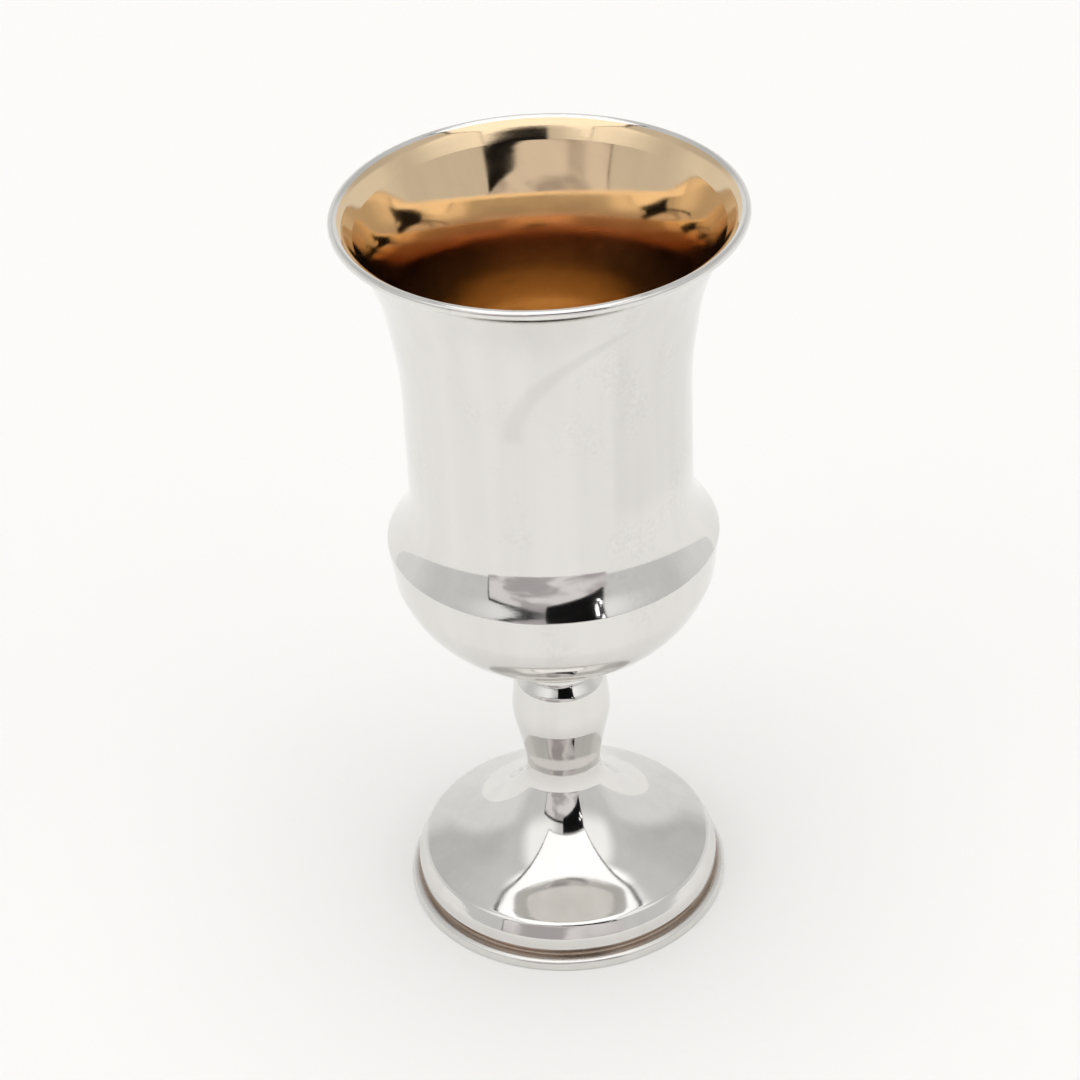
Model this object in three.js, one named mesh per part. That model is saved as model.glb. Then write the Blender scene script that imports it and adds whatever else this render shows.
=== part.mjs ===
// Kiddush cup: a footed silver goblet with a gilded bowl.
// Three turned pieces stand on one axis: the bowl, the stem knop and the foot.
// Units are millimetres, +Z is up, and the origin is the middle of the ring that the cup stands on.

import * as THREE from 'three';

// ---- Driving dimensions -------------------------------------------------

const CUP_HEIGHT = 146;        // table to the top of the rolled rim
const RIM_RADIUS = 36;         // outer edge of the rolled rim
const NECK_RADIUS = 25.6;      // straight upper part of the bowl
const BULB_RADIUS = 30.2;      // crease around the widest part of the bulb
const KNOP_RADIUS = 9.25;      // widest part of the knop
const STEM_RADIUS = 7.45;      // joint between knop and foot, just above the narrow neck
const FOOT_RADIUS = 30.6;      // outer edge of the base ring
const WALL = 0.8;              // sheet thickness of the bowl and the foot
const STEM_BORE = 6.2;         // inside of the narrow neck below the knop

const BOWL_LEVEL = 56;         // underside of the bowl, where the knop is soldered on
const STEM_LEVEL = 31;         // top of the foot, where the knop is soldered on

// ---- Rim and base details -----------------------------------------------

const RIM_BEAD = 0.85;         // radius of the rolled edge
const RING_HEIGHT = 2.1;       // base ring, from the table to the groove above it
const RING_INNER_RADIUS = 28.7;
const RING_ROUND = 0.9;        // rounding of the base ring's upper edge
const RING_FOOT_ROUND = 0.25;  // rounding of the edge that meets the table
const DOME_RADIUS = 29;        // edge of the dome, above the groove
const GROOVE_RADIUS = 28.2;    // bottom of the groove above the base ring
const GROOVE_TOP = 3.3;

// ---- Mesh fineness ------------------------------------------------------

const SEGMENTS = 40;           // facets around the axis
const CHORD_ERROR = 0.09;      // largest distance between an arc and its chords
const LARGEST_TURN = THREE.MathUtils.degToRad(45);

// ---- Outlines -----------------------------------------------------------

// A corner of an outline: its radius from the axis, its height and the radius of its rounding.
const corner = (radius, height, round = 0) => ({ at: new THREE.Vector2(radius, height), round });

// Points along an arc from one angle to another, both ends included.
function arc(centre, radius, start, end) {
  const finest = 2 * Math.acos(1 - Math.min(CHORD_ERROR / radius, 1));
  const steps = Math.ceil(Math.abs(end - start) / Math.min(finest, LARGEST_TURN));
  return Array.from({ length: steps + 1 }, (_, i) => {
    const angle = start + ((end - start) * i) / steps;
    return new THREE.Vector2(Math.cos(angle), Math.sin(angle)).multiplyScalar(radius).add(centre);
  });
}

// One corner as the arc that touches the lines to its two neighbours.
function roundCorner({ at, round }, before, after) {
  const back = before.clone().sub(at).normalize();
  const ahead = after.clone().sub(at).normalize();
  const half = Math.acos(THREE.MathUtils.clamp(back.dot(ahead), -1, 1)) / 2;
  const middle = back.clone().add(ahead).normalize();
  const centre = at.clone().addScaledVector(middle, round / Math.sin(half));
  const reach = round / Math.tan(half);
  const first = at.clone().addScaledVector(back, reach).sub(centre);
  const last = at.clone().addScaledVector(ahead, reach).sub(centre);
  const turn = Math.atan2(first.cross(last), first.dot(last));
  return arc(centre, round, first.angle(), first.angle() + turn);
}

// An open outline as a list of points, with each inner corner rounded.
function outline(corners) {
  return corners.flatMap((item, i) => {
    const sharp = item.round === 0 || i === 0 || i === corners.length - 1;
    return sharp ? [item.at] : roundCorner(item, corners[i - 1].at, corners[i + 1].at);
  });
}

// The same outline moved sideways by a distance, to the left of its direction of travel.
function offset(corners, distance) {
  return corners.map((item, i) => {
    const before = corners[Math.max(i - 1, 0)].at;
    const after = corners[Math.min(i + 1, corners.length - 1)].at;
    const arriving = i === 0 ? after.clone().sub(item.at) : item.at.clone().sub(before);
    const leaving = i === corners.length - 1 ? arriving.clone() : after.clone().sub(item.at);
    const left = (v) => new THREE.Vector2(-v.y, v.x).normalize();
    const normal = left(arriving).add(left(leaving)).normalize();
    const at = item.at.clone().addScaledVector(normal, distance / normal.dot(left(leaving)));
    const grows = arriving.cross(leaving) < 0 ? distance : -distance;
    return { at, round: item.round === 0 ? 0 : Math.max(item.round + grows, 0.3) };
  });
}

// ---- Bowl: flared neck, hollow shoulder, creased bulb and round bottom --

// Outer face, from the middle of the underside up to the lip.
const bowlFace = [
  corner(0, BOWL_LEVEL),
  corner(23.8, BOWL_LEVEL, 23.5),
  corner(29.3, 72.7, 3),
  corner(BULB_RADIUS, 80.3, 0.5),
  corner(NECK_RADIUS, 86.8, 16),
  corner(NECK_RADIUS, 115.5, 80),
  corner(28.05, 132.2, 40),
  corner(32.6, 142.1, 3),
  corner(RIM_RADIUS - 1.6 * RIM_BEAD, CUP_HEIGHT - 1.7 * RIM_BEAD),
];

function bowlProfile() {
  const bead = new THREE.Vector2(RIM_RADIUS - RIM_BEAD, CUP_HEIGHT - RIM_BEAD);
  const under = THREE.MathUtils.degToRad(-120);
  const inside = THREE.MathUtils.degToRad(105);
  const hollow = [
    ...offset(bowlFace, WALL).slice(0, -2),
    corner(31.95, 142.5, 0.5),
    corner(33.6, CUP_HEIGHT - 1, 2.5),
    corner(34.9, CUP_HEIGHT),
  ];
  return [
    ...outline(bowlFace).slice(0, -1),
    ...arc(bead, RIM_BEAD, under, inside),
    ...outline(hollow).slice(0, -1).reverse(),
  ];
}

// ---- Knop: an egg with a short collar under the bowl --------------------

function knopProfile() {
  return outline([
    corner(0, STEM_LEVEL),
    corner(STEM_RADIUS, STEM_LEVEL),
    corner(KNOP_RADIUS + 0.15, 40, 12),
    corner(8.7, 47, 2.2),
    corner(6.9, 49.3, 1.9),
    corner(6.6, BOWL_LEVEL),
    corner(0, BOWL_LEVEL),
  ]);
}

// ---- Foot: trumpet, dished dome, groove and base ring -------------------

// Outer face of the neck, trumpet and dome, from the stem down to the edge above the groove.
const footFace = [
  corner(STEM_RADIUS, STEM_LEVEL),
  corner(6.84, 28.25, 14),
  corner(7.25, 24.37, 5.2),
  corner(12.9, 14.15, 27.5),
  corner(27.6, 8.86, 1.6),
  corner(DOME_RADIUS, 6, 2),
  corner(DOME_RADIUS, GROOVE_TOP + 0.4, 0.4),
];

function footProfile() {
  const outside = [
    ...footFace,
    corner(GROOVE_RADIUS, GROOVE_TOP, 0.3),
    corner(GROOVE_RADIUS, RING_HEIGHT, 0.4),
    corner(FOOT_RADIUS, RING_HEIGHT, RING_ROUND),
    corner(FOOT_RADIUS, 0, RING_FOOT_ROUND),
    corner(RING_INNER_RADIUS, 0),
  ];
  const hollow = offset(footFace.slice(0, 6), -WALL);
  const roof = STEM_LEVEL - 3;
  return [
    new THREE.Vector2(0, STEM_LEVEL),
    ...outline(outside),
    new THREE.Vector2(RING_INNER_RADIUS - WALL, RING_HEIGHT),
    new THREE.Vector2(GROOVE_RADIUS - WALL, GROOVE_TOP),
    ...outline(hollow).filter((point) => point.y < roof - 0.5).reverse(),
    new THREE.Vector2(STEM_BORE, roof),
    new THREE.Vector2(0, roof),
  ];
}

// ---- Pieces -------------------------------------------------------------

// A closed solid of revolution about +Z from a profile that starts and ends on the axis.
function turned(profile) {
  const rising = profile[0].y < profile[profile.length - 1].y;
  const points = rising ? profile : [...profile].reverse();
  return new THREE.LatheGeometry(points, SEGMENTS).rotateX(Math.PI / 2);
}

function piece(name, profile, material) {
  const mesh = new THREE.Mesh(turned(profile), material);
  mesh.name = name;
  return mesh;
}

const silver = (name, roughness) =>
  new THREE.MeshStandardMaterial({ name, color: 0xdcdad6, roughness, metalness: 1 });

const cup = new THREE.Group();
cup.add(piece('bowl', bowlProfile(), silver('bowl silver', 0.1)));
cup.add(piece('stem_knop', knopProfile(), silver('knop silver', 0.12)));
cup.add(piece('foot', footProfile(), silver('foot silver', 0.1)));

export default cup;
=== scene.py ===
"""A footed silver kiddush cup with a gilded bowl, standing on a pale studio table.

The cup is three turned pieces on one axis: the bowl, the stem knop and the foot. Outlines are in millimetres, out from
the axis and up from the table. Meshes, cards and shader heights are in metres, and shader scales are per metre.
"""

import logging
import math
from dataclasses import dataclass, field
from enum import Enum

import bpy
from mathutils import Matrix, Vector


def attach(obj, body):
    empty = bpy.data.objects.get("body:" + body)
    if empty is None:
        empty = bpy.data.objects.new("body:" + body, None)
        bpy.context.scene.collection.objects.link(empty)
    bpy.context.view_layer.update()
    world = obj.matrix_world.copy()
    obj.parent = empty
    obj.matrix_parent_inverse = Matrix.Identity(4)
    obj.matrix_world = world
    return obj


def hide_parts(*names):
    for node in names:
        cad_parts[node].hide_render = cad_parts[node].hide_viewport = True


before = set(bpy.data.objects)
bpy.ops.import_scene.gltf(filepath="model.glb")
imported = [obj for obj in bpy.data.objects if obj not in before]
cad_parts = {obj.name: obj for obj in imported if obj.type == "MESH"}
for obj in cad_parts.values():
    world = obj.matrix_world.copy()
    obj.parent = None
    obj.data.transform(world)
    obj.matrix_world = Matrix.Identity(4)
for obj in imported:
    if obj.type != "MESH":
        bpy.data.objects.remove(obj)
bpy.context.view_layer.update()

LOG = logging.getLogger("kiddush_cup")
MM = 0.001
LONGEST_STRETCH = 0.9  # the longest edge along an outline, in millimetres
MERGE_DISTANCE = 2e-6  # points closer than this, in metres, are one point

Colour = tuple[float, float, float]
Pair = tuple[float, float]


# ---- Shader maths -------------------------------------------------------


class Wire:
    """A node output or a number that adds Math nodes when it is used in an expression."""

    def __init__(self, graph: "Graph", source: "bpy.types.NodeSocket | float") -> None:
        """Wraps one socket or number.

        Args:
            graph: The node tree that new Math nodes go into.
            source: The socket, or a plain number.
        """
        self.graph = graph
        self.source = source

    def _math(self, operation: str, *others: "Wire | float", first: "Wire | float | None" = None) -> "Wire":
        """Adds one Math node.

        Args:
            operation: The Math node's operation.
            others: Its second and third values.
            first: Its first value, when that is not this wire.

        Returns:
            The node's result.
        """
        values = [self if first is None else first, *others]
        return self.graph.add("ShaderNodeMath", {"operation": operation}, dict(enumerate(values)))

    def __add__(self, other: "Wire | float") -> "Wire":
        """Adds a wire or a number."""
        return self._math("ADD", other)

    __radd__ = __add__

    def __sub__(self, other: "Wire | float") -> "Wire":
        """Takes away a wire or a number."""
        return self._math("SUBTRACT", other)

    def __rsub__(self, other: "Wire | float") -> "Wire":
        """Takes this wire away from a number."""
        return self._math("SUBTRACT", self, first=other)

    def __mul__(self, other: "Wire | float") -> "Wire":
        """Multiplies by a wire or a number."""
        return self._math("MULTIPLY", other)

    __rmul__ = __mul__

    def __truediv__(self, other: "Wire | float") -> "Wire":
        """Divides by a wire or a number."""
        return self._math("DIVIDE", other)

    def alone(self, operation: str) -> "Wire":
        """Applies a Math operation to this value alone.

        Args:
            operation: The operation, such as SQRT or ABSOLUTE.

        Returns:
            The result.
        """
        return self._math(operation)

    def angle_from(self, other: "Wire | float") -> "Wire":
        """Finds the angle whose tangent is this value over the other.

        Args:
            other: The value below the line.

        Returns:
            The angle, in degrees.
        """
        return self._math("ARCTAN2", other).alone("DEGREES")

    def rise(self, start: float, end: float) -> "Wire":
        """Makes a smooth step.

        Args:
            start: Where the step is 0.
            end: Where it is 1; this may be the smaller of the two.

        Returns:
            The step.
        """
        low, high = min(start, end), max(start, end)
        to_low, to_high = (0.0, 1.0) if start < end else (1.0, 0.0)
        return self.graph.add(
            "ShaderNodeMapRange",
            {"interpolation_type": "SMOOTHSTEP"},
            {"Value": self, "From Min": low, "From Max": high, "To Min": to_low, "To Max": to_high},
        )

    def band(self, low: float, high: float, soft: float) -> "Wire":
        """Makes a soft-edged band.

        Args:
            low: Where the band starts.
            high: Where it ends.
            soft: How far outside them it falls to 0.

        Returns:
            1 in the band and 0 well outside it.
        """
        return self.rise(low - soft, low) * self.rise(high + soft, high)


class Graph:
    """One material's or world's node tree."""

    def __init__(self, owner: "bpy.types.Material | bpy.types.World") -> None:
        """Empties the owner's node tree and starts a new one.

        Args:
            owner: The material or world.
        """
        owner.use_nodes = True
        self.is_world = isinstance(owner, bpy.types.World)
        self.tree = owner.node_tree
        self.tree.nodes.clear()

    def add(self, kind: str, settings: dict | None = None, values: dict | None = None, out: str | int = 0) -> Wire:
        """Adds a node, sets it up and feeds its inputs.

        Args:
            kind: The node's type.
            settings: Its properties, set first.
            values: What goes into its inputs, by name or number: wires, numbers or colours.
            out: The name of the output to return, or 0 for the first.

        Returns:
            The chosen output.
        """
        node = self.tree.nodes.new(kind)
        for name, value in (settings or {}).items():
            setattr(node, name, value)
        for name, value in (values or {}).items():
            self.feed(node, name, value)
        outputs = [socket for socket in node.outputs if socket.enabled and out in (0, socket.name)]
        return Wire(self, outputs[0] if outputs else 0.0)

    def feed(self, node: bpy.types.Node, name: int | str, value: object) -> None:
        """Links a wire to a node's input, or sets the input's own value.

        Args:
            node: The node.
            name: The input's name or number.
            value: A wire, a number or a colour.
        """
        if isinstance(name, str):
            socket = next(item for item in node.inputs if item.name == name and item.enabled)
        else:
            socket = node.inputs[name]
        if isinstance(value, Wire):
            self.tree.links.new(value.source, socket)
        elif isinstance(value, tuple) and socket.type == "RGBA":
            socket.default_value = (*value, 1.0)
        else:
            socket.default_value = value

    def split(self, vector: Wire) -> tuple[Wire, Wire, Wire]:
        """Takes a vector apart.

        Args:
            vector: The vector.

        Returns:
            Its x, y and z.
        """
        node = self.add("ShaderNodeSeparateXYZ", values={0: vector}).source.node
        return tuple(Wire(self, node.outputs[axis]) for axis in ("X", "Y", "Z"))

    def noise(
        self, vector: Wire, scale: float, detail: float = 2.0, roughness: float = 0.5, distort: float = 0.0
    ) -> Wire:
        """Adds a noise texture.

        Args:
            vector: Where it is read.
            scale: How fine it is.
            detail: How many finer layers it has.
            roughness: How strong the finer layers are.
            distort: How far it is swirled.

        Returns:
            A value between 0 and 1.
        """
        values = {"Vector": vector, "Scale": scale, "Detail": detail, "Roughness": roughness, "Distortion": distort}
        return self.add("ShaderNodeTexNoise", values=values)

    def stretch(self, vector: Wire, by: tuple[float, float, float]) -> Wire:
        """Multiplies a vector, part by part.

        Args:
            vector: The vector.
            by: What its x, y and z are multiplied by; a small number draws a texture out along that axis.

        Returns:
            The new vector.
        """
        return self.add("ShaderNodeVectorMath", {"operation": "MULTIPLY"}, {0: vector, 1: by})

    def mix(self, factor: Wire, first: "Wire | Colour", second: "Wire | Colour") -> Wire:
        """Blends two colours.

        Args:
            factor: 0 for the first, 1 for the second.
            first: The first colour.
            second: The second colour.

        Returns:
            The blend.
        """
        return self.add("ShaderNodeMix", {"data_type": "RGBA"}, {"Factor": factor, "A": first, "B": second})

    def surface(self, shader: Wire) -> None:
        """Sends a shader to the output.

        Args:
            shader: The finished shader.
        """
        kind = "ShaderNodeOutputWorld" if self.is_world else "ShaderNodeOutputMaterial"
        self.add(kind, values={"Surface": shader})


# ---- Outlines -----------------------------------------------------------


@dataclass(frozen=True)
class Corner:
    """One corner of a turned piece's outline, in millimetres."""

    radius: float
    height: float
    round: float = 0.0

    @property
    def at(self) -> Vector:
        """Gives the corner's place as a flat vector."""
        return Vector((self.radius, self.height))


def arc(centre: Vector, radius: float, start: float, turn: float, step: float = 4.0) -> list[Vector]:
    """Points along an arc, both ends included.

    Args:
        centre: The arc's centre.
        radius: Its radius.
        start: The angle of its first point, in radians.
        turn: How far it goes round, in radians.
        step: The largest angle between two points, in degrees.

    Returns:
        The points in order.
    """
    by_angle = math.ceil(abs(math.degrees(turn)) / step)
    by_length = math.ceil(abs(turn) * radius / LONGEST_STRETCH)
    count = max(2, by_angle, by_length)
    angles = (start + turn * i / count for i in range(count + 1))
    return [centre + radius * Vector((math.cos(a), math.sin(a))) for a in angles]


def rounded(corners: list[Corner]) -> list[Vector]:
    """Rounds each inner corner with an arc that touches both its lines.

    Args:
        corners: The corners in order.

    Returns:
        The outline's points.
    """
    points: list[Vector] = []
    for i, corner in enumerate(corners):
        if corner.round == 0 or i in (0, len(corners) - 1):
            points.append(corner.at)
            continue
        back = (corners[i - 1].at - corner.at).normalized()
        ahead = (corners[i + 1].at - corner.at).normalized()
        half = math.acos(max(-1.0, min(1.0, back.dot(ahead)))) / 2
        reach = corner.round / math.tan(half)
        centre = corner.at + (back + ahead).normalized() * (corner.round / math.sin(half))
        first = corner.at + back * reach - centre
        last = corner.at + ahead * reach - centre
        turn = math.atan2(first.x * last.y - first.y * last.x, first.dot(last))
        points += arc(centre, corner.round, math.atan2(first.y, first.x), turn)
    return points


def offset(corners: list[Corner], distance: float) -> list[Corner]:
    """Moves an outline sideways.

    Args:
        corners: The corners in order.
        distance: How far, to the left of the direction of travel when it is positive.

    Returns:
        The moved corners, with their roundings made larger or smaller to match.
    """
    smallest_round = 0.3
    moved = []
    for i, corner in enumerate(corners):
        before, after = corners[max(i - 1, 0)].at, corners[min(i + 1, len(corners) - 1)].at
        arriving = (after if i == 0 else corner.at) - (corner.at if i == 0 else before)
        leaving = arriving.copy() if i == len(corners) - 1 else after - corner.at
        left = [Vector((-way.y, way.x)).normalized() for way in (arriving, leaving)]
        normal = (left[0] + left[1]).normalized()
        at = corner.at + normal * (distance / normal.dot(left[1]))
        grows = distance if arriving.x * leaving.y - arriving.y * leaving.x < 0 else -distance
        moved.append(Corner(at.x, at.y, max(corner.round + grows, smallest_round) if corner.round else 0.0))
    return moved


def spaced(points: list[Vector]) -> list[Vector]:
    """Adds points to an outline, so that no stretch of it is too long.

    Args:
        points: The outline.

    Returns:
        The same outline with more points, and none twice.
    """
    nothing = 1e-4
    out = [points[0]]
    for start, end in zip(points, points[1:]):
        length = (end - start).length
        count = max(1, math.ceil(length / LONGEST_STRETCH)) if length > nothing else 0
        out += [start.lerp(end, (i + 1) / count) for i in range(count)]
    return out


def chain(name: str, points: list[Vector]) -> bpy.types.Object:
    """Draws a chain of edges and leaves it in Edit Mode with all of it selected.

    Args:
        name: The object's name.
        points: The chain's points, in metres.

    Returns:
        The new object.
    """
    bpy.ops.object.select_all(action="DESELECT")
    bpy.ops.mesh.primitive_plane_add(size=MM, location=points[0])
    drawn = bpy.context.object
    drawn.name = drawn.data.name = name
    bpy.ops.object.mode_set(mode="EDIT")
    bpy.ops.mesh.merge(type="CENTER")
    for here, there in zip(points, points[1:]):
        bpy.ops.mesh.extrude_vertices_move(TRANSFORM_OT_translate={"value": there - here})
    bpy.ops.mesh.select_all(action="SELECT")
    return drawn


def turn(name: str, outline: list[Vector], segments: int, smooth: float = 40.0) -> bpy.types.Object:
    """Turns an outline round the upright axis into a closed solid.

    Args:
        name: The piece's name.
        outline: Points (radius, height) in millimetres, starting and ending on the axis.
        segments: The number of steps round the axis.
        smooth: Edges sharper than this many degrees stay crisp.

    Returns:
        The finished object, with its place in its mesh.
    """
    piece = chain(name, [Vector((p.x * MM, 0.0, p.y * MM)) for p in spaced(outline)])
    bpy.ops.mesh.spin(steps=segments, angle=math.tau, center=(0, 0, 0), axis=(0, 0, 1))
    bpy.ops.mesh.select_all(action="SELECT")
    bpy.ops.mesh.remove_doubles(threshold=MERGE_DISTANCE)
    bpy.ops.mesh.normals_make_consistent(inside=False)
    bpy.ops.object.mode_set(mode="OBJECT")
    settle(piece)
    bpy.ops.object.shade_smooth_by_angle(angle=math.radians(smooth))
    return piece


def settle(piece: bpy.types.Object) -> None:
    """Puts a piece's place, turn and size into its mesh.

    Args:
        piece: The piece.
    """
    bpy.ops.object.select_all(action="DESELECT")
    piece.select_set(True)
    bpy.context.view_layer.objects.active = piece
    bpy.ops.object.transform_apply(location=True, rotation=True, scale=True)


# ---- Finishes -----------------------------------------------------------


class Metal(Enum):
    """The two metals of the cup, as base colours."""

    SILVER = (0.80, 0.785, 0.76)
    GILDING = (0.84, 0.645, 0.42)


class StainAndPaintedGlow(Enum):
    """Colours laid over the metals in places, one of them a painted glow."""

    PAINTED_GLOW_GOLD = (0.98, 0.80, 0.50)
    RED_GOLD = (0.56, 0.30, 0.20)
    TARNISH = (0.34, 0.25, 0.19)


@dataclass(frozen=True)
class Finish:
    """A polished metal with fine wear.

    Attributes:
        metal: The metal's colour.
        polish: The roughness of its best-polished parts.
        wear: How much rougher its duller parts are.
        ripple: The height of the slow ripples left by spinning and hand polishing, in metres.
        brown: Where old polish and tarnish have settled, as (lowest, highest, innermost radius) in millimetres.
        neck_reflections_painted: Whether the painted reflections on the bowl's front are on it: a dark slanting fold
            and a darker side beyond an upright line, with a fine mottle.
        darkest: How much of the metal's colour is left in its darkest painted streaks.
        grain_height: The height of the fine grain, in metres.
        scratch_height: The height of the fine scratches, in metres.
    """

    metal: Metal
    polish: float = 0.045
    wear: float = 0.05
    ripple: float = 0.00006
    brown: tuple[float, float, float] | None = None
    neck_reflections_painted: bool = False
    darkest: float = 0.86
    grain_height: float = 0.0000012
    scratch_height: float = 0.0000016

    def material(self, name: str) -> bpy.types.Material:
        """Builds the material.

        Args:
            name: The material's name.

        Returns:
            The material, ready to assign.
        """
        material = bpy.data.materials.new(name)
        graph = Graph(material)
        point = graph.add("ShaderNodeTexCoord", out="Object")
        x, y, z = graph.split(point)
        # Vertical streaks in the colour: painted reflections of the studio's cloth.
        streaks = graph.noise(graph.stretch(point, (1.0, 1.0, 0.05)), 190.0, 3.0)
        patches = graph.noise(point, 60.0, 3.0, 0.6)
        scratches = graph.noise(graph.stretch(point, (1.0, 1.0, 7.0)), 900.0, 3.0, 0.65)
        tone = 0.35 + 0.9 * streaks + 0.4 * (patches - 0.5)
        # Painted reflection: a dark slanting fold and a darker side on the front of the neck, painted into the colour.
        if self.neck_reflections_painted:
            mottle = graph.noise(point, 1300.0, 1.0) - 0.6
            tone = tone - self.painted_reflection_darkening(x.angle_from(-1 * y), z) + patches.rise(0.52, 0.66) * 1.1 * mottle
        dark = tuple(channel * self.darkest for channel in self.metal.value)
        colour = graph.mix(tone.rise(0.0, 1.2), dark, self.metal.value)
        roughness = self.polish + self.wear * patches.rise(0.45, 0.75) + 0.03 * scratches
        if self.metal is Metal.GILDING:
            warm = z.band(114 * MM, 127 * MM, 0.007) * (0.30 + 0.4 * streaks)
            # Painted light: the bottom of the gilded inside is paler, a painted glow from the light falling in from
            # above.
            deep = z.rise(112 * MM, 95 * MM)
            colour = graph.mix(warm, graph.mix(deep, colour, StainAndPaintedGlow.PAINTED_GLOW_GOLD.value), StainAndPaintedGlow.RED_GOLD.value)
            roughness = roughness + z.rise(131 * MM, 121 * MM) * (0.04 + 0.08 * streaks) + 0.06 * deep
        if self.brown is not None:
            low, high, inner = self.brown
            radius = (x * x + y * y).alone("SQRT")
            settled = z.band(low * MM, high * MM, 0.0006) * radius.rise((inner - 0.6) * MM, inner * MM)
            hold = settled * (0.72 + 0.28 * graph.noise(point, 240.0))
            colour = graph.mix(hold * radius.rise(30.1 * MM, 28.9 * MM), colour, StainAndPaintedGlow.TARNISH.value)
            roughness = roughness + 0.22 * hold
        shader = graph.add(
            "ShaderNodeBsdfPrincipled",
            values={
                "Base Color": colour,
                "Metallic": 1.0,
                "Roughness": roughness,
                "Normal": self.relief(graph, point, scratches),
            },
        )
        graph.surface(shader)
        return material

    def relief(self, graph: Graph, point: Wire, scratches: Wire) -> Wire:
        """Makes the bump: slow ripples, fine grain and fine scratches.

        Args:
            graph: The material's node tree.
            point: The point on the object.
            scratches: The scratches, between 0 and 1.

        Returns:
            The bumped normal.
        """
        waves = graph.noise(graph.stretch(point, (1.0, 1.0, 0.45)), 55.0, 1.0)
        grain = graph.noise(point, 2600.0, 2.0)
        height = waves * self.ripple + grain * self.grain_height + scratches * self.scratch_height
        return graph.add("ShaderNodeBump", values={"Strength": 1.0, "Distance": 1.0, "Height": height})

    @staticmethod
    def painted_reflection_darkening(turned: Wire, z: Wire) -> Wire:
        """Finds how much the front of the neck is darkened by painted reflections: a slanting fold and the side beyond
        a long upright line.

        Args:
            turned: The angle from the front, in degrees, positive to the right.
            z: The height, in metres.

        Returns:
            The painted darkening, up to about 0.7 where the two cross.
        """
        foot_height, rise_height = 115, 21
        foot_angle, sweep = -14, 39
        along = (z / MM - foot_height) / rise_height
        path = turned - (sweep * along * along + foot_angle)
        slanting = path.band(-1.5, 1.0, 4.5) * along.band(0.05, 0.95, 0.12)
        upright = turned.rise(22.5, 26.5) * z.band(100 * MM, 138 * MM, 0.006)
        return 0.42 * slanting + 0.30 * upright


# ---- The cup ------------------------------------------------------------


@dataclass
class Bowl:
    """The flared bowl: rolled lip, straight neck, hollow shoulder, sharp-edged bulb and round bottom.

    Attributes:
        height: The top of the lip.
        rim: The outer edge of the lip.
        neck: The radius of the straight neck.
        bulb: The radius of the crease round the bulb.
        underside: The height of the flat that sits on the knop.
        wall: The thickness of the sheet.
        bead: The radius of the rolled edge.
        segments: The number of steps round the axis.
        gilt_edge: The radius, on the lip, where gilding meets silver.
        outside: The finish outside.
        inside: The finish inside.
    """

    height: float = 146.0
    rim: float = 36.0
    neck: float = 25.6
    bulb: float = 30.2
    underside: float = 56.0
    wall: float = 0.8
    bead: float = 0.85
    segments: int = 224
    gilt_edge: float = 34.3
    outside: Finish = field(default_factory=lambda: Finish(Metal.SILVER, neck_reflections_painted=True))
    inside: Finish = field(default_factory=lambda: Finish(Metal.GILDING, polish=0.05, wear=0.07))

    def face(self) -> list[Corner]:
        """Lists the outer face's corners, from the middle of the underside up to the lip."""
        return [
            Corner(0, self.underside),
            Corner(23.8, self.underside, 23.5),
            Corner(29.3, 72.7, 3),
            Corner(self.bulb, 80.3, 0.5),
            Corner(self.neck, 86.8, 16),
            Corner(self.neck, 115.5, 80),
            Corner(28.05, 132.2, 40),
            Corner(32.6, 142.1, 3),
            Corner(self.rim - 1.6 * self.bead, self.height - 1.7 * self.bead),
        ]

    def build(self) -> bpy.types.Object:
        """Turns the bowl with its wall and lip."""
        face = self.face()
        bead = Vector((self.rim - self.bead, self.height - self.bead))
        lip = arc(bead, self.bead, start=math.radians(-120), turn=math.radians(225), step=12)
        hollow = offset(face, self.wall)
        hollow[-2:] = [Corner(31.95, 142.5, 0.5), Corner(33.6, self.height - 1, 2.5), Corner(34.9, self.height)]
        outline = rounded(face)[:-1] + lip + rounded(hollow)[:-1][::-1]
        return turn("bowl_turned", outline, self.segments)

    def dress(self, piece: bpy.types.Object) -> None:
        """Silvers the outside and gilds the inside, up to the crown of the lip.

        Args:
            piece: The turned bowl.
        """
        piece.data.materials.append(self.outside.material("bowl_silver_polished"))
        piece.data.materials.append(self.inside.material("bowl_gilding_polished"))
        silver, gilding = 0, 1
        lip = (self.height - 1.9 * self.bead) * MM
        for polygon in piece.data.polygons:
            away = polygon.center.to_2d()
            outward = polygon.normal.to_2d().dot(away.normalized())
            if polygon.center.z > lip:
                gilt = away.length < self.gilt_edge * MM and polygon.normal.z > -0.2
            else:
                gilt = outward < -0.02 or (polygon.normal.z > 0.5 and away.length < self.neck * MM - self.wall * 2 * MM)
            polygon.material_index = gilding if gilt else silver


@dataclass
class Knop:
    """The egg-shaped knop with its short collar under the bowl.

    Attributes:
        top: The height of the joint with the bowl.
        joint: The height of the joint with the foot.
        widest: The radius of the corner that the egg is rounded from.
        segments: The number of steps round the axis.
        finish: The finish.
    """

    top: float = 56.0
    joint: float = 31.0
    widest: float = 9.4
    segments: int = 128
    finish: Finish = field(default_factory=lambda: Finish(Metal.SILVER, polish=0.04, wear=0.04, ripple=0.00003))

    def build(self) -> bpy.types.Object:
        """Turns the knop."""
        outline = rounded([
            Corner(0, self.joint),
            Corner(7.45, self.joint),
            Corner(self.widest, 40, 12),
            Corner(8.7, 47, 2.2),
            Corner(6.9, 49.3, 1.9),
            Corner(6.6, self.top),
            Corner(0, self.top),
        ])
        return turn("stem_knop_turned", outline, self.segments)

    def dress(self, piece: bpy.types.Object) -> None:
        """Polishes the knop.

        Args:
            piece: The turned knop.
        """
        piece.data.materials.append(self.finish.material("stem_silver_polished"))


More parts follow.
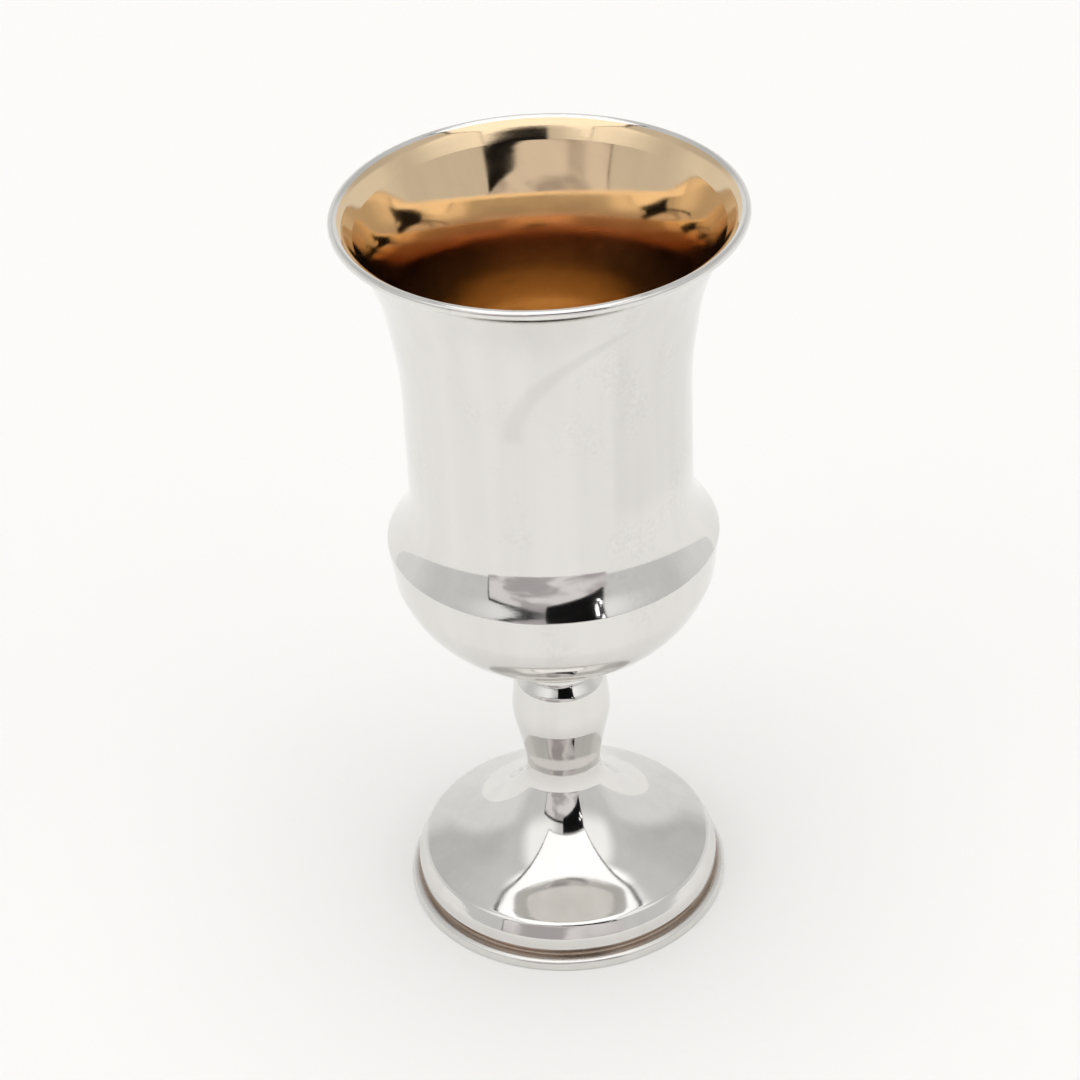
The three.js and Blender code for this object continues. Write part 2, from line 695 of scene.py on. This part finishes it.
@dataclass
class Foot:
    """The trumpet foot: narrow neck, dished dome, groove and base ring, hollow underneath.

    Attributes:
        top: The height of the joint with the knop.
        radius: The outer edge of the base ring.
        dome: The radius of the edge above the groove.
        groove: The radius of the bottom of the groove.
        groove_top: The height of the top of the groove.
        ring: The height of the base ring.
        ring_inside: The inner edge of the ring that rests on the table.
        wall: The thickness of the sheet.
        roof: The height of the top of the hollow.
        bore: The radius of the top of the hollow.
        segments: The number of steps round the axis.
        finish: The finish.
    """

    top: float = 31.0
    radius: float = 30.6
    dome: float = 29.0
    groove: float = 28.2
    groove_top: float = 3.3
    ring: float = 2.1
    ring_inside: float = 28.7
    wall: float = 0.8
    roof: float = 28.0
    bore: float = 6.2
    segments: int = 224
    finish: Finish = field(default_factory=lambda: Finish(Metal.SILVER, brown=(1.9, 2.45, 28.0)))

    def face(self) -> list[Corner]:
        """Lists the outer face's corners, from the joint under the knop down to the edge above the groove."""
        return [
            Corner(7.45, self.top),
            Corner(6.84, 28.25, 14),
            Corner(7.25, 24.37, 5.2),
            Corner(12.9, 14.15, 27.5),
            Corner(27.6, 8.86, 1.6),
            Corner(self.dome, 6.0, 2.0),
            Corner(self.dome, self.groove_top + 0.4, 0.4),
        ]

    def build(self) -> bpy.types.Object:
        """Turns the foot with its groove, its ring and the hollow under the dome."""
        face = self.face()
        outside = [
            *face,
            Corner(self.groove, self.groove_top, 0.3),
            Corner(self.groove, self.ring, 0.4),
            Corner(self.radius, self.ring, 0.9),
            Corner(self.radius, 0, 0.25),
            Corner(self.ring_inside, 0),
        ]
        hollow = [p for p in rounded(offset(face[:6], -self.wall)) if p.y < self.roof - 0.5]
        inside = [
            Vector((self.ring_inside - self.wall, self.ring)),
            Vector((self.groove - self.wall, self.groove_top)),
            *hollow[::-1],
            Vector((self.bore, self.roof)),
            Vector((0, self.roof)),
        ]
        return turn("foot_turned", [Vector((0, self.top)), *rounded(outside), *inside], self.segments)

    def dress(self, piece: bpy.types.Object) -> None:
        """Polishes the foot, with brown left in the groove.

        Args:
            piece: The turned foot.
        """
        piece.data.materials.append(self.finish.material("foot_silver_polished"))


# ---- The studio ---------------------------------------------------------


@dataclass
class Card:
    """A flat card or lamp round the cup that shows in its polish and is not seen by the camera.

    Attributes:
        name: The card's name.
        outline: Its corners in its own plane, in metres: across and up, or across and away when it lies flat.
        level: How far in front of the cup it stands, or how high it lies.
        glow: The light it gives off.
        folds: The light of its paler folds, when it is crumpled cloth.
        flat: Whether it lies flat overhead.
    """

    name: str
    outline: list[Pair]
    level: float
    glow: Colour
    folds: Colour | None = None
    flat: bool = False

    def build(self) -> bpy.types.Object:
        """Draws the outline, fills it and makes it glow."""
        points = [Vector((u, v, self.level) if self.flat else (u, -self.level, v)) for u, v in self.outline]
        card = chain(self.name, points)
        bpy.ops.mesh.edge_face_add()
        bpy.ops.object.mode_set(mode="OBJECT")
        settle(card)
        material = bpy.data.materials.new(self.name)
        graph = Graph(material)
        colour: Wire | Colour = self.glow
        if self.folds is not None:
            point = graph.add("ShaderNodeTexCoord", out="Object")
            creases = graph.noise(graph.stretch(point, (1.0, 1.0, 1.5)), 1.5, 2.0, 0.5, 0.7)
            colour = graph.mix(creases.rise(0.36, 0.60), self.glow, self.folds)
        graph.surface(graph.add("ShaderNodeEmission", values={"Color": colour, "Strength": 1.0}))
        card.data.materials.append(material)
        card.visible_camera = card.visible_shadow = card.visible_diffuse = False
        return card


@dataclass
class Studio:
    """The pale table, the soft surround, the light panel overhead and the dark opening at the front.

    Attributes:
        front: How far in front of the cup the opening is, in metres.
        overhead: The height of the light panel, in metres.
        wall_light: The brightness of the surround.
        table_size: The side of the table, in metres.
        opening: The outline of the dark opening, across and up.
        flap: The outline of the cloth that hangs in front of its lower part.
        lamps: The places of the small lamps that shine through it.
        lamp_size: The side of each lamp, in metres.
        gap: The distance between one card and the next behind it, in metres.
    """

    front: float = 1.2
    overhead: float = 1.12
    wall_light: float = 0.74
    table_size: float = 12.0
    opening: tuple[Pair, ...] = ((-1.36, 0.0), (0.78, 0.0), (0.78, 1.24), (-0.18, 1.24), (-0.18, 0.96), (-1.36, 0.94))
    flap: tuple[Pair, ...] = (
        (-1.33, 0.0),
        (0.86, 0.0),
        (0.84, 0.42),
        (0.72, 0.44),
        (0.54, 0.56),
        (0.24, 0.68),
        (-0.14, 0.80),
        (-0.18, 0.89),
        (-0.6, 0.88),
        (-1.30, 0.86),
    )
    lamps: tuple[Pair, ...] = ((0.66, 0.80), (0.71, 0.88), (0.62, 0.93))
    lamp_size: float = 0.032
    gap: float = 0.01

    def build(self) -> None:
        """Builds the table, the surround and the cards."""
        self.table()
        self.surround()
        border = Card("overhead_frame", self.panel(0.03), self.overhead + self.gap, (0.05,) * 3, flat=True)
        panel = Card("overhead_panel", self.panel(0.0), self.overhead, (1.35,) * 3, flat=True)
        opening = Card("front_opening", list(self.opening), self.front, (0.004,) * 3)
        flap = Card("front_flap", list(self.flap), self.front - self.gap, (0.46, 0.43, 0.44), (0.80, 0.77, 0.77))
        lamps = [self.lamp(f"lamp_{i}", place) for i, place in enumerate(self.lamps)]
        for card in (border, panel, opening, flap, *lamps):
            card.build()

    def panel(self, border: float) -> list[Pair]:
        """Gives the overhead panel's outline, which narrows away from the camera.

        Args:
            border: How much it is widened all round.

        Returns:
            Its four corners.
        """
        near, far = -1.04 - border, 0.34 + border
        return [(-0.76 - border, near), (0.70 + border, near), (0.36 + border, far), (-0.39 - border, far)]

    def lamp(self, name: str, place: Pair) -> Card:
        """Makes one of the small square lamps that shine through the opening.

        Args:
            name: The lamp's name.
            place: Its middle, across and up.

        Returns:
            The lamp, not yet built.
        """
        half = self.lamp_size / 2
        square = ((-half, -half), (half, -half), (half, half), (-half, half))
        corners = [(place[0] + u, place[1] + v) for u, v in square]
        return Card(name, corners, self.front - 2 * self.gap, (9.0,) * 3)

    def table(self) -> None:
        """Builds the plain pale table."""
        bpy.ops.object.select_all(action="DESELECT")
        bpy.ops.mesh.primitive_plane_add(size=self.table_size, location=(0, 0, 0))
        floor = bpy.context.object
        floor.name = "floor"
        material = bpy.data.materials.new("pale_table")
        graph = Graph(material)
        values = {"Base Color": (0.93, 0.925, 0.915), "Roughness": 0.9}
        graph.surface(graph.add("ShaderNodeBsdfPrincipled", values=values))
        floor.data.materials.append(material)

    def surround(self) -> None:
        """Lights the cup softly from all round: pale cloth walls, brighter in front at the sides and overhead."""
        world = bpy.data.worlds.new("studio")
        bpy.context.scene.world = world
        graph = Graph(world)
        direction = graph.add("ShaderNodeTexCoord", out="Generated")
        x, y, z = graph.split(direction)
        side = x.angle_from(-1 * y).alone("ABSOLUTE")
        up = z.alone("ARCSINE").alone("DEGREES")
        lobes = up.rise(22, 40) * up.rise(70, 60) * side.band(36, 64, 24)
        far_low = side.rise(85, 115) * up.rise(32, 20)
        behind = side.band(115, 150, 25) * up.rise(60, 40)
        cloth = graph.noise(direction, 2.2, 2.0, 0.5, 0.8)
        weave = graph.noise(direction, 140.0, 1.0) - 0.5
        walls = 0.84 + 0.62 * lobes + 0.30 * far_low + 0.12 * cloth + 0.3 * weave - 0.10 * behind
        level = self.wall_light * walls + 2.0 * up.rise(62, 72)
        background = graph.add("ShaderNodeBackground", values={"Color": (1.0, 0.995, 0.985), "Strength": level})
        graph.surface(background)


@dataclass
class CameraRig:
    """The camera, placed by what it looks at and from where.

    Attributes:
        lens: The focal length, in millimetres.
        sensor: The sensor's width, in millimetres.
        elevation: How far above level it is, in degrees.
        roll: How far it is tipped sideways, in degrees.
        distance: How far it is from the point it looks at, in millimetres.
        aim_height: The height of that point on the cup's axis, in millimetres.
        aim_side: How far the view is moved to the left, in millimetres.
        nearest: The nearest distance it sees, in metres.
    """

    lens: float = 100.0
    sensor: float = 36.0
    elevation: float = 34.35
    roll: float = -2.776
    distance: float = 546.93
    aim_height: float = 77.5
    aim_side: float = 2.523
    nearest: float = 0.01

    def build(self) -> bpy.types.Object:
        """Adds the camera and makes it the scene's own."""
        turn_up = Matrix.Rotation(math.radians(90 - self.elevation), 4, "X")
        pose = turn_up @ Matrix.Rotation(math.radians(self.roll), 4, "Z")
        right, back = pose.col[0].to_3d(), pose.col[2].to_3d()
        place = Vector((0, 0, self.aim_height)) - self.aim_side * right + self.distance * back
        bpy.ops.object.camera_add(location=place * MM, rotation=pose.to_euler())
        camera = bpy.context.object
        camera.name = "camera"
        camera.data.lens = self.lens
        camera.data.sensor_width = self.sensor
        camera.data.clip_start = self.nearest
        bpy.context.scene.camera = camera
        return camera


def main() -> None:
    """Builds the camera, the studio and the three pieces, in that order."""
    logging.basicConfig(level=logging.INFO, format="%(message)s")
    bpy.context.scene.view_settings.view_transform = "Standard"
    CameraRig().build()
    Studio().build()
    parts = (
        (Bowl(), "bowl", "bowl_silver"),
        (Knop(), "stem_knop", "stem_silver"),
        (Foot(), "foot", "foot_silver"),
    )
    for part, node, slot in parts:
        piece = part.build()
        part.dress(piece)
        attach(piece, "root")
        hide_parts(node)
        LOG.info("%s: %d faces", piece.name, len(piece.data.polygons))


if __name__ == "__main__":
    main()
